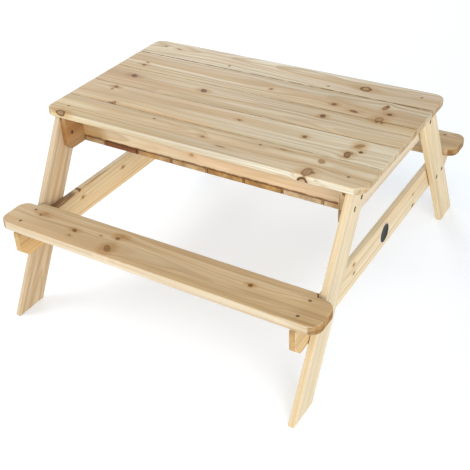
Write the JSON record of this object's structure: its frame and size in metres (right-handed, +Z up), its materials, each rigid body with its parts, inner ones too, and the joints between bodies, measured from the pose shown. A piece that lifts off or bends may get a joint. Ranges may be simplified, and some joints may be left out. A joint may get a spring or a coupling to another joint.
{
  "type": "picnic table with sandbox",
  "caption": "Low wooden picnic table for children, with two fixed bench seats, splayed legs and a shallow sandbox under a lift-out middle of the tabletop.",
  "frame": {"origin": "on the floor under the middle of the table", "axes": "+Z up, X along the table, -Y towards the front seat, +Y towards the back seat"},
  "size_m": [0.91, 1.052, 0.492],
  "materials": {
    "top_wood": "planed, untreated, matt",
    "lid_wood": "planed, untreated, matt",
    "batten_wood": "planed, untreated, matt",
    "leg_wood": "planed, untreated, matt",
    "rail_wood": "planed, untreated, matt",
    "floor_wood": "planed, untreated, matt",
    "seat_wood": "planed, untreated, matt",
    "beam_wood": "planed, untreated, matt",
    "fixing_steel": "dull, lightly rusted"
  },
  "bodies": {
    "table": {"top_board_front": "top_wood", "top_board_back": "top_wood", "leg_front_left": "leg_wood", "leg_front_right": "leg_wood", "leg_back_left": "leg_wood", "leg_back_right": "leg_wood", "end_rail_left": "rail_wood", "end_rail_right": "rail_wood", "long_rail_front": "rail_wood", "long_rail_back": "rail_wood", "floor_slat_1": "floor_wood", "floor_slat_2": "floor_wood", "floor_slat_3": "floor_wood", "floor_slat_4": "floor_wood", "floor_slat_5": "floor_wood", "floor_slat_6": "floor_wood", "floor_slat_7": "floor_wood", "floor_slat_8": "floor_wood", "seat_front": "seat_wood", "seat_back": "seat_wood", "seat_beam_left": "beam_wood", "seat_beam_right": "beam_wood", "top_bolt_front_left_1": "fixing_steel", "top_bolt_front_left_2": "fixing_steel", "beam_bolt_front_left_1": "fixing_steel", "beam_bolt_front_left_2": "fixing_steel", "top_bolt_back_left_1": "fixing_steel", "top_bolt_back_left_2": "fixing_steel", "beam_bolt_back_left_1": "fixing_steel", "beam_bolt_back_left_2": "fixing_steel", "top_bolt_front_right_1": "fixing_steel", "top_bolt_front_right_2": "fixing_steel", "beam_bolt_front_right_1": "fixing_steel", "beam_bolt_front_right_2": "fixing_steel", "top_bolt_back_right_1": "fixing_steel", "top_bolt_back_right_2": "fixing_steel", "beam_bolt_back_right_1": "fixing_steel", "beam_bolt_back_right_2": "fixing_steel", "seat_screw_front_left_1": "fixing_steel", "seat_screw_front_left_2": "fixing_steel", "top_end_screw_front_left": "fixing_steel", "top_rail_screw_front_left": "fixing_steel", "seat_screw_front_right_1": "fixing_steel", "seat_screw_front_right_2": "fixing_steel", "top_end_screw_front_right": "fixing_steel", "top_rail_screw_front_right": "fixing_steel", "seat_screw_back_left_1": "fixing_steel", "seat_screw_back_left_2": "fixing_steel", "top_end_screw_back_left": "fixing_steel", "top_rail_screw_back_left": "fixing_steel", "seat_screw_back_right_1": "fixing_steel", "seat_screw_back_right_2": "fixing_steel", "top_end_screw_back_right": "fixing_steel", "top_rail_screw_back_right": "fixing_steel"},
    "lid": {"lid_board_1": "lid_wood", "lid_board_2": "lid_wood", "lid_board_3": "lid_wood", "lid_batten_left": "batten_wood", "lid_batten_right": "batten_wood"}
  },
  "joints": [
    {"name": "lid_lift", "type": "slide", "parent": "table", "child": "lid", "axis": [0, 0, 1], "range_m": [0, 0.25]}
  ]
}
